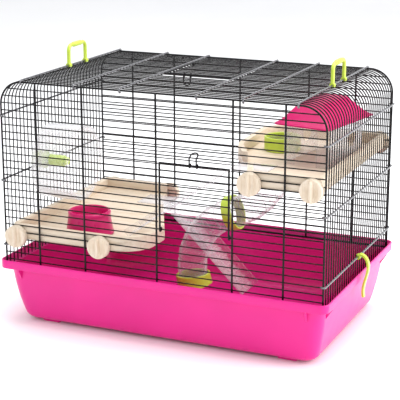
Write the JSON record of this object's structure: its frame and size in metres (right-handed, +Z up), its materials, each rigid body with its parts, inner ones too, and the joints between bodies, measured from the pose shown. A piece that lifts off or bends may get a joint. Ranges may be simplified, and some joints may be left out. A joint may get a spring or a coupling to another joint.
{
  "type": "hamster cage",
  "caption": "Wire-topped hamster cage with a deep plastic tub, wooden trays, wheel, tunnel, ladders, shelter and bowl.",
  "frame": {"origin": "centre of the footprint, on the surface that the cage stands on", "axes": "+Z up, front (the side with the front door) towards -Y, +X to the right seen from the front"},
  "size_m": [0.605, 0.3806, 0.4586],
  "materials": {
    "tub_plastic": "gloss",
    "wire_paint": "gloss",
    "lime_plastic": "satin",
    "pale_wood": "matt",
    "clear_plastic": "gloss",
    "roof_plastic": "gloss",
    "bowl_plastic": "gloss",
    "screw_steel": "plain"
  },
  "bodies": {
    "tub": {"base_tub": "tub_plastic"},
    "wire_top": {"front_frame": "wire_paint", "back_frame": "wire_paint", "front_posts": "wire_paint", "back_posts": "wire_paint", "front_bars": "wire_paint", "back_bars": "wire_paint", "left_wall_bars": "wire_paint", "right_wall_bars": "wire_paint", "left_bends": "wire_paint", "right_bends": "wire_paint", "left_rods": "wire_paint", "right_rods": "wire_paint", "roof_bars": "wire_paint", "roof_rods": "wire_paint", "lower_tray_board": "pale_wood", "lower_tray_front_rail": "pale_wood", "lower_tray_back_rail": "pale_wood", "lower_tray_wall_rail": "pale_wood", "upper_tray_board": "pale_wood", "upper_tray_front_rail": "pale_wood", "upper_tray_back_rail": "pale_wood", "upper_tray_wall_rail": "pale_wood", "upper_tray_end_rail": "pale_wood", "knob_screws": "screw_steel", "wheel_axle": "lime_plastic", "wheel_clamp": "lime_plastic", "wheel_cap": "lime_plastic", "tunnel_lower": "clear_plastic", "tunnel_upper": "clear_plastic", "tunnel_joint_collar": "lime_plastic", "tunnel_floor_collar": "lime_plastic", "tunnel_shelf_collar": "lime_plastic", "house_body": "clear_plastic"},
    "front_door": {"front_door_frame": "wire_paint", "front_door_bars": "wire_paint"},
    "front_latch": {"front_door_latch": "wire_paint"},
    "roof_door": {"roof_door_frame": "wire_paint", "roof_door_bars": "wire_paint"},
    "roof_latch": {"roof_door_latch": "wire_paint"},
    "left_handle": {"left_handle": "lime_plastic"},
    "right_handle": {"right_handle": "lime_plastic"},
    "left_clip": {"left_clip": "lime_plastic"},
    "right_clip": {"right_clip": "lime_plastic"},
    "wheel": {"wheel_drum": "clear_plastic", "wheel_hub": "lime_plastic"},
    "house_roof": {"house_roof": "roof_plastic"},
    "food_bowl": {"food_bowl": "bowl_plastic"},
    "upper_ladder": {"upper_ladder": "clear_plastic"},
    "floor_ladder": {"floor_ladder": "clear_plastic"},
    "lower_front_knob_1": {"lower_front_knob_1": "pale_wood"},
    "lower_front_knob_2": {"lower_front_knob_2": "pale_wood"},
    "lower_back_knob_1": {"lower_back_knob_1": "pale_wood"},
    "lower_back_knob_2": {"lower_back_knob_2": "pale_wood"},
    "upper_front_knob_1": {"upper_front_knob_1": "pale_wood"},
    "upper_front_knob_2": {"upper_front_knob_2": "pale_wood"},
    "upper_back_knob_1": {"upper_back_knob_1": "pale_wood"},
    "upper_back_knob_2": {"upper_back_knob_2": "pale_wood"}
  },
  "joints": [
    {"name": "wire_top_lift", "type": "slide", "parent": "tub", "child": "wire_top", "axis": [0, 0, 1], "range_m": [0, 0.25]},
    {"name": "front_door_hinge", "type": "hinge", "parent": "wire_top", "child": "front_door", "pos_m": [0.065, -0.17337, 0.19812], "axis": [1, 0, 0], "range_deg": [0, 150]},
    {"name": "front_latch_swing", "type": "hinge", "parent": "front_door", "child": "front_latch", "pos_m": [0.0645, -0.17607, 0.30756], "axis": [1, 0, 0], "range_deg": [0, 100]},
    {"name": "roof_door_hinge", "type": "hinge", "parent": "wire_top", "child": "roof_door", "pos_m": [0.0045, 0.09387, 0.4176], "axis": [-1, 0, 0], "range_deg": [0, 110]},
    {"name": "roof_latch_swing", "type": "hinge", "parent": "roof_door", "child": "roof_latch", "pos_m": [-0.0135, -0.02347, 0.4203], "axis": [1, 0, 0], "range_deg": [-40, 40]},
    {"name": "left_handle_fold", "type": "hinge", "parent": "wire_top", "child": "left_handle", "pos_m": [-0.24, 0.01173, 0.42023], "axis": [0, 1, 0], "range_deg": [-80, 80]},
    {"name": "right_handle_fold", "type": "hinge", "parent": "wire_top", "child": "right_handle", "pos_m": [0.235, 0.01173, 0.42023], "axis": [0, 1, 0], "range_deg": [-80, 80]},
    {"name": "left_clip_swing", "type": "hinge", "parent": "wire_top", "child": "left_clip", "pos_m": [-0.28323, -0.00587, 0.139], "axis": [0, 1, 0], "range_deg": [0, 90]},
    {"name": "right_clip_swing", "type": "hinge", "parent": "wire_top", "child": "right_clip", "pos_m": [0.28323, -0.00587, 0.139], "axis": [0, -1, 0], "range_deg": [0, 90]},
    {"name": "wheel_spin", "type": "hinge", "parent": "wire_top", "child": "wheel", "pos_m": [-0.236, -0.04107, 0.256], "axis": [1, 0, 0], "continuous": true},
    {"name": "lower_front_knob_1_turn", "type": "hinge", "parent": "wire_top", "child": "lower_front_knob_1", "pos_m": [-0.2587, -0.182, 0.15556], "axis": [0, 1, 0], "continuous": true},
    {"name": "lower_front_knob_2_turn", "type": "hinge", "parent": "wire_top", "child": "lower_front_knob_2", "pos_m": [-0.1035, -0.182, 0.15556], "axis": [0, 1, 0], "continuous": true},
    {"name": "lower_back_knob_1_turn", "type": "hinge", "parent": "wire_top", "child": "lower_back_knob_1", "pos_m": [-0.2587, 0.182, 0.15556], "axis": [0, 1, 0], "continuous": true},
    {"name": "lower_back_knob_2_turn", "type": "hinge", "parent": "wire_top", "child": "lower_back_knob_2", "pos_m": [-0.142, 0.182, 0.15556], "axis": [0, 1, 0], "continuous": true},
    {"name": "upper_front_knob_1_turn", "type": "hinge", "parent": "wire_top", "child": "upper_front_knob_1", "pos_m": [0.158, -0.182, 0.28932], "axis": [0, 1, 0], "continuous": true},
    {"name": "upper_front_knob_2_turn", "type": "hinge", "parent": "wire_top", "child": "upper_front_knob_2", "pos_m": [0.2587, -0.182, 0.28932], "axis": [0, 1, 0], "continuous": true},
    {"name": "upper_back_knob_1_turn", "type": "hinge", "parent": "wire_top", "child": "upper_back_knob_1", "pos_m": [0.142, 0.182, 0.28932], "axis": [0, 1, 0], "continuous": true},
    {"name": "upper_back_knob_2_turn", "type": "hinge", "parent": "wire_top", "child": "upper_back_knob_2", "pos_m": [0.2587, 0.182, 0.28932], "axis": [0, 1, 0], "continuous": true},
    {"name": "house_roof_lift", "type": "slide", "parent": "wire_top", "child": "house_roof", "axis": [0, 0, 1], "range_m": [0, 0.012]},
    {"name": "food_bowl_lift", "type": "slide", "parent": "wire_top", "child": "food_bowl", "axis": [0, 0, 1], "range_m": [0, 0.05]},
    {"name": "upper_ladder_lift", "type": "slide", "parent": "wire_top", "child": "upper_ladder", "axis": [0, 0, 1], "range_m": [0, 0.03]},
    {"name": "floor_ladder_lift", "type": "slide", "parent": "wire_top", "child": "floor_ladder", "axis": [0, 0, 1], "range_m": [0, 0.03]}
  ]
}
